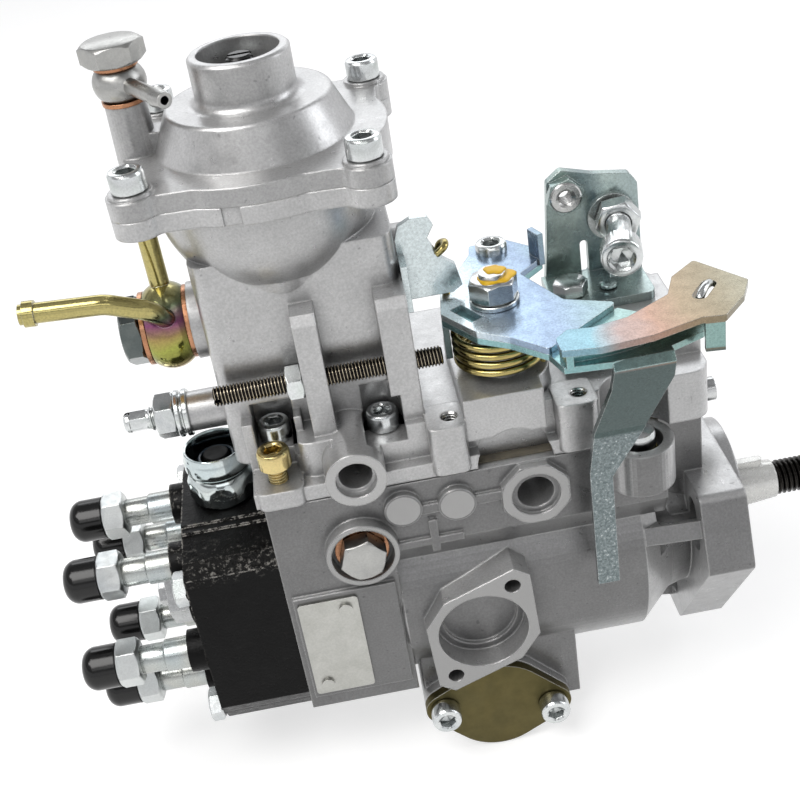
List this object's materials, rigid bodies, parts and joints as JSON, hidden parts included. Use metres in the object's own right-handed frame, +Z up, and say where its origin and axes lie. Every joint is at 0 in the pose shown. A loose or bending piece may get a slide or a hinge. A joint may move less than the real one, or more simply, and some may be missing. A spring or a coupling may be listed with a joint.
{
  "type": "diesel injection pump",
  "caption": "Distributor diesel injection pump: cast body with slotted flange and tapered drive shaft, distributor head with capped outlets, boost compensator, throttle lever and governor.",
  "frame": {"origin": "centre of the mounting pilot, on the drive shaft's axis at the flange's front face", "axes": "+X along the drive shaft out of the drive end, +Z up towards the boost compensator, -Y the side with the throttle arm"},
  "size_m": [0.2597, 0.1134, 0.2467],
  "materials": {
    "cast_aluminium": "cast, fine blasted grain",
    "head_steel": "machined, satin",
    "steel": "ground",
    "zinc": "clear zinc plated",
    "yellow_zinc": "yellow passivated zinc",
    "black_steel": "black oxide",
    "black_plastic": "glossy moulded caps",
    "copper": "soft copper",
    "bearing_bronze": "plain bearing",
    "seal_rubber": "matt",
    "gasket": "pressed fibre",
    "spring_steel": "drawn wire"
  },
  "bodies": {
    "housing": {"pump_housing": "cast_aluminium", "distributor_head": "head_steel", "hex_screws": "zinc", "delivery_valve_holders": "head_steel", "delivery_caps": "black_plastic", "head_plug": "zinc", "plunger_sleeve": "steel", "cutoff_valve": "zinc", "pivot_screws": "zinc", "blank_plate": "cast_aluminium", "timing_covers": "cast_aluminium", "socket_screws": "zinc", "governor_cover": "cast_aluminium", "cover_gasket": "gasket", "compensator_cap": "cast_aluminium", "adjusting_screws": "black_steel", "lock_nuts": "zinc", "copper_washers": "copper", "plain_washers": "yellow_zinc", "air_banjo": "yellow_zinc", "banjo_bolts": "zinc", "overflow_banjo": "yellow_zinc", "cross_plug": "zinc", "return_spring": "spring_steel", "spring_anchor": "zinc", "stop_bracket": "zinc", "stop_bolt": "zinc", "drive_bush": "bearing_bronze", "shaft_seal": "seal_rubber", "pump_ring": "steel", "pump_plate": "steel", "governor_shaft": "steel", "lever_frame": "steel", "governor_spring": "spring_steel", "spring_bridge": "steel", "plunger_springs": "spring_steel", "timing_spring": "spring_steel", "boost_spring": "spring_steel"},
    "drive": {"drive_shaft": "steel", "vane_rotor": "steel", "drive_gear": "steel", "cross_disc": "steel", "cam_plate": "steel", "plunger": "steel"},
    "governor": {"governor_cage": "steel"},
    "weight_1": {"flyweight_1": "steel"},
    "weight_2": {"flyweight_2": "steel"},
    "weight_3": {"flyweight_3": "steel"},
    "weight_4": {"flyweight_4": "steel"},
    "sleeve": {"governor_sleeve": "steel"},
    "lever": {"governor_lever": "steel"},
    "spill_ring": {"control_sleeve": "steel"},
    "timing": {"timing_piston": "cast_aluminium"},
    "rollers": {"roller_ring": "steel"},
    "boost": {"boost_pin": "steel", "boost_diaphragm": "seal_rubber"},
    "throttle": {"control_shaft": "steel", "control_lever": "zinc", "quadrant_lever": "zinc", "lever_fasteners": "zinc"}
  },
  "joints": [
    {"name": "drive_turn", "type": "hinge", "parent": "housing", "child": "drive", "pos_m": [0, 0, 0], "axis": [1, 0, 0], "continuous": true},
    {"name": "governor_turn", "type": "hinge", "parent": "housing", "child": "governor", "pos_m": [0, 0, 0.042], "axis": [1, 0, 0], "continuous": true},
    {"name": "sleeve_slide", "type": "slide", "parent": "housing", "child": "sleeve", "axis": [-1, 0, 0], "range_m": [0, 0.00265], "stiffness_N_per_m": 2000, "deforming": ["governor_spring"]},
    {"name": "lever_turn", "type": "hinge", "parent": "housing", "child": "lever", "pos_m": [-0.1145, 0, 0.026], "axis": [0, -1, 0], "range_deg": [0, 10.7]},
    {"name": "spill_ring_slide", "type": "slide", "parent": "housing", "child": "spill_ring", "axis": [1, 0, 0], "range_m": [0, 0.0031]},
    {"name": "timing_slide", "type": "slide", "parent": "housing", "child": "timing", "axis": [0, 1, 0], "range_m": [0, 0.007], "stiffness_N_per_m": 3000, "deforming": ["timing_spring"]},
    {"name": "roller_turn", "type": "hinge", "parent": "housing", "child": "rollers", "pos_m": [-0.0866, 0, 0], "axis": [1, 0, 0], "range_deg": [0, 9.8]},
    {"name": "boost_slide", "type": "slide", "parent": "housing", "child": "boost", "axis": [0, 0, -1], "range_m": [0, 0.005], "stiffness_N_per_m": 4000, "deforming": ["boost_spring"]},
    {"name": "throttle_turn", "type": "hinge", "parent": "housing", "child": "throttle", "pos_m": [-0.0695, -0.0205, 0.0985], "axis": [0, 0, 1], "range_deg": [-35, 0], "stiffness_Nm_per_rad": 0.6, "deforming": ["governor_spring"]},
    {"name": "weight_1_swing", "type": "hinge", "parent": "governor", "child": "weight_1", "pos_m": [-0.0615, 0, 0.0555], "axis": [0, 1, 0], "range_deg": [0, 20]},
    {"name": "weight_2_swing", "type": "hinge", "parent": "governor", "child": "weight_2", "pos_m": [-0.0615, 0.0135, 0.042], "axis": [0, 0, -1], "range_deg": [0, 20]},
    {"name": "weight_3_swing", "type": "hinge", "parent": "governor", "child": "weight_3", "pos_m": [-0.0615, 0, 0.0285], "axis": [0, -1, 0], "range_deg": [0, 20]},
    {"name": "weight_4_swing", "type": "hinge", "parent": "governor", "child": "weight_4", "pos_m": [-0.0615, -0.0135, 0.042], "axis": [0, 0, 1], "range_deg": [0, 20]}
  ],
  "couplings": [
    {"joint": "governor_turn", "follows": "drive_turn", "ratio": -1.5926},
    {"joint": "lever_turn", "follows": "sleeve_slide", "rad_per_m": 70.2},
    {"joint": "spill_ring_slide", "follows": "sleeve_slide", "ratio": 1.1517},
    {"joint": "roller_turn", "follows": "timing_slide", "rad_per_m": 24.39},
    {"joint": "weight_1_swing", "follows": "sleeve_slide", "rad_per_m": 131.67},
    {"joint": "weight_2_swing", "follows": "sleeve_slide", "rad_per_m": 131.67},
    {"joint": "weight_3_swing", "follows": "sleeve_slide", "rad_per_m": 131.67},
    {"joint": "weight_4_swing", "follows": "sleeve_slide", "rad_per_m": 131.67}
  ]
}
